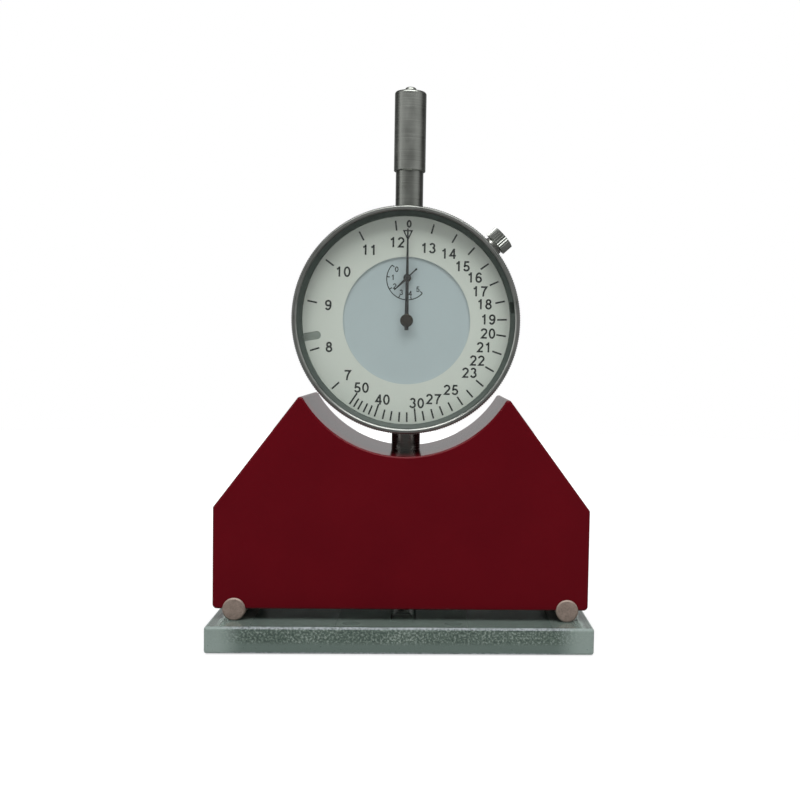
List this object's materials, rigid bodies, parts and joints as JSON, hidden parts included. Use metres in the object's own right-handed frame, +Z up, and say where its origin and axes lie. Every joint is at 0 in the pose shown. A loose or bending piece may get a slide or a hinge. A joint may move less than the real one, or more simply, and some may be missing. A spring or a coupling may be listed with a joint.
{
  "type": "mesh tension gauge",
  "caption": "Mesh tension gauge: a dial indicator in the saddle of a trapezoid block on two support rods, with a sprung measuring bar below, standing on its glass setting plate.",
  "frame": {"origin": "on the table under the indicator's stem, in the middle of the setting plate's underside", "axes": "+X to the right along the block's width, seen from the dial's side; +Y from the dial's side to the back; +Z up along the indicator's stem"},
  "size_m": [0.1014, 0.06, 0.1523],
  "materials": {
    "plate_glass": "clear with a green tint, ground edges",
    "maroon_paint": "gloss maroon paint",
    "ground_steel": "ground",
    "plain_aluminium": "machined",
    "dark_screws": "turned",
    "black_screw": "blackened",
    "spring_steel": "drawn wire",
    "brass": "turned",
    "bronze_hub": "polished",
    "satin_case": "satin chrome",
    "satin_bezel": "satin chrome, knurled edge",
    "satin_chrome": "satin chrome, fine turning marks",
    "gasket": "matte",
    "hand_black": "matte black",
    "blued_steel": "blued",
    "dial_blue": "matte pale blue",
    "dial_cream": "matte cream",
    "clear_crystal": "clear",
    "dark_ring": "dark satin"
  },
  "bodies": {
    "gauge_body": {"body_block": "maroon_paint", "support_rod_left": "ground_steel", "support_rod_right": "ground_steel", "bottom_cover": "plain_aluminium", "bottom_cover_screws": "dark_screws", "guide_pins": "ground_steel", "force_springs": "spring_steel", "stem_clamp_screw": "black_screw", "indicator_case": "satin_case", "back_cover": "satin_case", "back_cover_screws": "dark_screws", "case_gasket": "gasket", "lower_stem": "satin_chrome", "upper_tube": "satin_chrome", "front_plate": "brass", "rear_plate": "brass", "plate_pillars": "brass", "front_plate_screws": "dark_screws", "rear_plate_screws": "dark_screws", "rack_bridge": "brass", "bridge_spacers": "brass", "bridge_screws": "dark_screws", "return_spring": "spring_steel", "spring_post": "dark_screws", "hairspring": "blued_steel", "hairspring_stud": "brass", "inner_dial": "dial_blue", "bezel_spring_wire": "spring_steel", "clamp_claw": "satin_case", "clamp_washer": "ground_steel"},
    "measuring_bar": {"measuring_bar": "ground_steel", "bar_carriage": "plain_aluminium", "guide_bushes": "brass", "bar_screws": "dark_screws", "anvil": "ground_steel"},
    "setting_plate": {"setting_plate": "plate_glass"},
    "spindle": {"spindle": "ground_steel", "contact_point": "black_screw", "spindle_head": "ground_steel", "spindle_arm": "brass"},
    "rack_arbor": {"rack_arbor": "ground_steel", "main_gear": "brass"},
    "pointer": {"centre_arbor": "ground_steel", "pointer_hub": "bronze_hub", "main_pointer": "hand_black"},
    "counter": {"counter_arbor": "ground_steel", "counter_gear": "brass", "counter_hand": "hand_black", "hairspring_collet": "brass"},
    "bezel": {"bezel": "satin_bezel", "crystal": "clear_crystal", "crystal_ring": "dark_ring", "dial_ring": "dial_cream", "dial_key": "satin_case"},
    "clamp_screw": {"bezel_clamp_screw": "satin_bezel"},
    "dust_cap": {"dust_cap": "satin_chrome"}
  },
  "joints": [
    {"name": "bar_slide", "type": "slide", "parent": "gauge_body", "child": "measuring_bar", "axis": [0, 0, -1], "range_m": [0, 0.0024], "stiffness_N_per_m": 2100, "springref_m": 0.00233, "deforming": ["force_springs"]},
    {"name": "plate_lift", "type": "slide", "parent": "measuring_bar", "child": "setting_plate", "axis": [0, 0, -1], "range_m": [0, 0.06]},
    {"name": "spindle_slide", "type": "slide", "parent": "gauge_body", "child": "spindle", "axis": [0, 0, -1], "range_m": [0, 0.0024], "deforming": ["return_spring"]},
    {"name": "rack_arbor_spin", "type": "hinge", "parent": "gauge_body", "child": "rack_arbor", "pos_m": [-0.0026, 0, 0.07595], "axis": [0, -1, 0], "range_deg": [-87, 0]},
    {"name": "pointer_spin", "type": "hinge", "parent": "gauge_body", "child": "pointer", "pos_m": [0, 0, 0.0872], "axis": [0, -1, 0], "range_deg": [0, 870]},
    {"name": "counter_spin", "type": "hinge", "parent": "gauge_body", "child": "counter", "pos_m": [0, 0, 0.09875], "axis": [0, -1, 0], "range_deg": [-87, 0]},
    {"name": "bezel_turn", "type": "hinge", "parent": "gauge_body", "child": "bezel", "pos_m": [0, 0, 0.0872], "axis": [0, -1, 0], "continuous": true},
    {"name": "clamp_screw_turn", "type": "hinge", "parent": "gauge_body", "child": "clamp_screw", "pos_m": [0, -0.0062, 0.0872], "axis": [0.7396, 0, 0.673], "range_deg": [0, 360]},
    {"name": "dust_cap_slide", "type": "slide", "parent": "gauge_body", "child": "dust_cap", "axis": [0, 0, 1], "range_m": [0, 0.005]}
  ],
  "couplings": [
    {"joint": "spindle_slide", "follows": "bar_slide", "ratio": 1},
    {"joint": "rack_arbor_spin", "follows": "bar_slide", "rad_per_m": -628.32},
    {"joint": "pointer_spin", "follows": "bar_slide", "rad_per_m": 6283.2},
    {"joint": "counter_spin", "follows": "bar_slide", "rad_per_m": -628.32}
  ]
}
